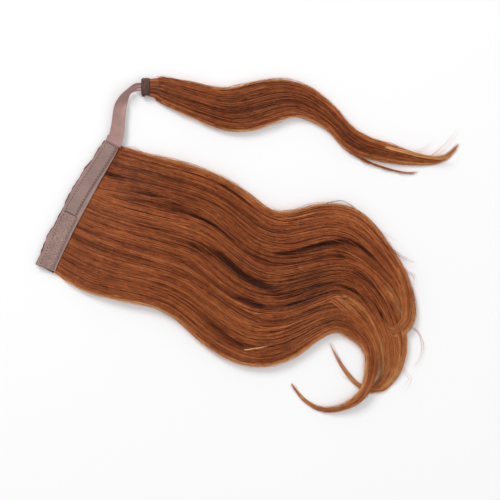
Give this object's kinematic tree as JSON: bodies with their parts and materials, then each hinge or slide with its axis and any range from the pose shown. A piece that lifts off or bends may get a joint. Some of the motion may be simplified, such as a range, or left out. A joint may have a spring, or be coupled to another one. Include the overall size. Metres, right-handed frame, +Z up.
{
  "type": "ponytail hairpiece",
  "caption": "Long wavy ponytail hairpiece lying flat: hair sewn under a touch-tape band, with a cloth strap that carries a thread-bound wrap-round lock of hair.",
  "frame": {"origin": "middle of the sewn band's underside, on the flat bottom of the hair's sewn head, on the surface that the piece lies on", "axes": "+X runs out along the hair away from the band, +Y along the band towards the strap, +Z up out of the surface that it lies on"},
  "size_m": [0.3951, 0.3209, 0.0119],
  "materials": {
    "hair": "long auburn hair with a soft sheen, darker in the partings and lighter at the curled ends",
    "band_cloth": "matt taupe ribbon with a fine weave",
    "loop_tape": "smooth brushed taupe loop tape with dark edge stitches",
    "hook_tape": "grainy taupe hook tape with a faint glint",
    "strap_cloth": "soft dusty pink-brown ribbon, slightly satin",
    "binding_thread": "dark brown wound thread"
  },
  "bodies": {
    "root": {"base_band": "band_cloth", "smooth_panel": "loop_tape", "hook_panel": "hook_tape", "strap": "strap_cloth", "binding": "binding_thread", "hair_fall": "hair", "wrap_lock": "hair"}
  },
  "joints": []
}
